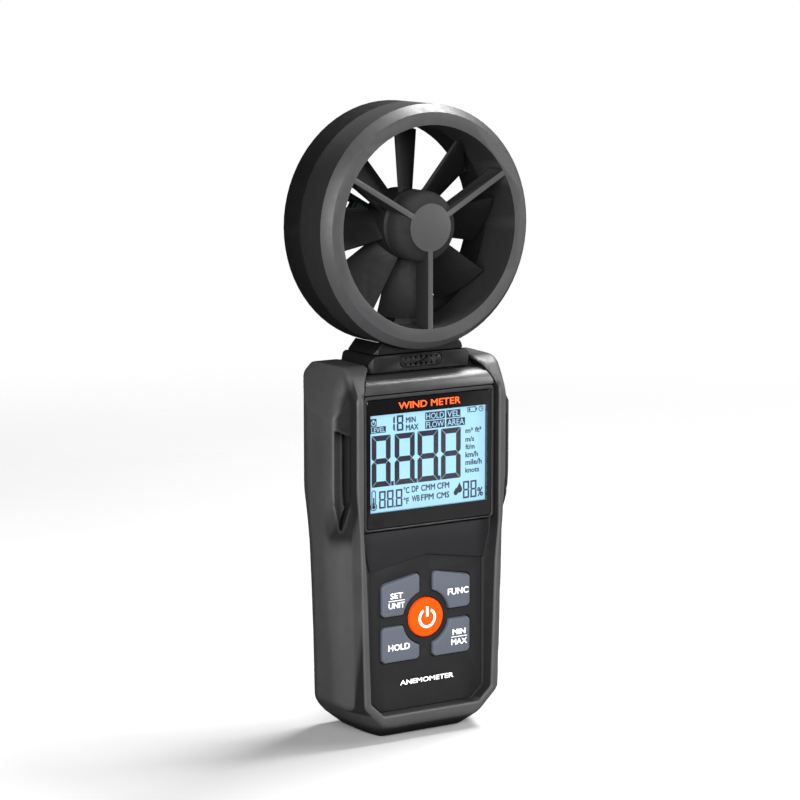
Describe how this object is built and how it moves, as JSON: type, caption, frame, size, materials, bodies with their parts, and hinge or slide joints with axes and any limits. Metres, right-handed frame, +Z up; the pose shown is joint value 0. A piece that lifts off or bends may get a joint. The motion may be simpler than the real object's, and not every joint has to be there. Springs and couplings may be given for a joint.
{
  "type": "vane anemometer",
  "caption": "Hand-held vane anemometer with a swivelling impeller head, a display, soft keys, a grip jacket and a battery door.",
  "frame": {"origin": "centre of the bottom of the overall box, on the surface that the meter stands on", "axes": "+Z up through the head, -Y towards the user (display side), +X to the user's right"},
  "size_m": [0.071, 0.0299, 0.186],
  "materials": {
    "head_abs": "fine satin moulded ABS",
    "blade_abs": "satin moulded ABS",
    "jacket_tpe": "matte over-moulded elastomer",
    "case_abs": "satin moulded ABS",
    "panel_film": "fine matte film",
    "lens_gloss": "polished smoked lens",
    "lcd": "backlit liquid crystal glass",
    "diffuser": "white light guide",
    "key_rubber": "matte silicone rubber",
    "power_rubber": "matte silicone rubber",
    "steel": "plated steel",
    "bronze": "sintered bronze",
    "board": "solder mask",
    "silicone": "moulded silicone",
    "cell_sleeve": "shrink sleeve"
  },
  "bodies": {
    "meter": {"grip_jacket": "jacket_tpe", "front_case": "case_abs", "rear_case": "case_abs", "display_bezel": "case_abs", "display_lens": "lens_gloss", "lcd_panel": "lcd", "lcd_backlight": "diffuser", "lcd_connector": "silicone", "keypad_faceplate": "panel_film", "keypad_membrane": "silicone", "main_board": "board", "swivel_base": "case_abs", "friction_washer": "steel", "humidity_board": "board", "case_screw_1": "steel", "case_screw_2": "steel", "case_screw_3": "steel", "case_screw_4": "steel", "battery_1": "cell_sleeve", "battery_2": "cell_sleeve", "battery_3": "cell_sleeve", "contact_top_single": "steel", "contact_top_pair": "steel", "contact_bottom_pair": "steel", "contact_bottom_single": "steel"},
    "head": {"vane_front_cover": "head_abs", "vane_rear_cover": "head_abs", "swivel_foot": "head_abs", "swivel_clip": "steel", "front_bearing": "bronze", "rear_bearing": "bronze", "pickup_board": "board", "head_screw_1": "steel", "head_screw_2": "steel", "head_screw_3": "steel"},
    "rotor": {"impeller": "blade_abs", "impeller_shaft": "steel", "impeller_magnet": "steel"},
    "door": {"battery_door": "case_abs"},
    "set_unit_key": {"key_set_unit": "key_rubber"},
    "func_key": {"key_func": "key_rubber"},
    "hold_key": {"key_hold": "key_rubber"},
    "min_max_key": {"key_min_max": "key_rubber"},
    "power_key": {"key_power": "power_rubber"}
  },
  "joints": [
    {"name": "head_swivel", "type": "hinge", "parent": "meter", "child": "head", "pos_m": [0, -0.001, 0.1137], "axis": [0, 0, 1], "range_deg": [-90, 90]},
    {"name": "impeller_spin", "type": "hinge", "parent": "head", "child": "rotor", "pos_m": [0, -0.001, 0.1505], "axis": [0, 1, 0], "continuous": true},
    {"name": "battery_door_hinge", "type": "hinge", "parent": "meter", "child": "door", "pos_m": [0, 0.0142, 0.0146], "axis": [-1, 0, 0], "range_deg": [0, 90]},
    {"name": "set_unit_press", "type": "slide", "parent": "meter", "child": "set_unit_key", "axis": [0, 1, 0], "range_m": [0, 0.0008], "stiffness_N_per_m": 1500},
    {"name": "func_press", "type": "slide", "parent": "meter", "child": "func_key", "axis": [0, 1, 0], "range_m": [0, 0.0008], "stiffness_N_per_m": 1500},
    {"name": "hold_press", "type": "slide", "parent": "meter", "child": "hold_key", "axis": [0, 1, 0], "range_m": [0, 0.0008], "stiffness_N_per_m": 1500},
    {"name": "min_max_press", "type": "slide", "parent": "meter", "child": "min_max_key", "axis": [0, 1, 0], "range_m": [0, 0.0008], "stiffness_N_per_m": 1500},
    {"name": "power_press", "type": "slide", "parent": "meter", "child": "power_key", "axis": [0, 1, 0], "range_m": [0, 0.0008], "stiffness_N_per_m": 1500}
  ]
}
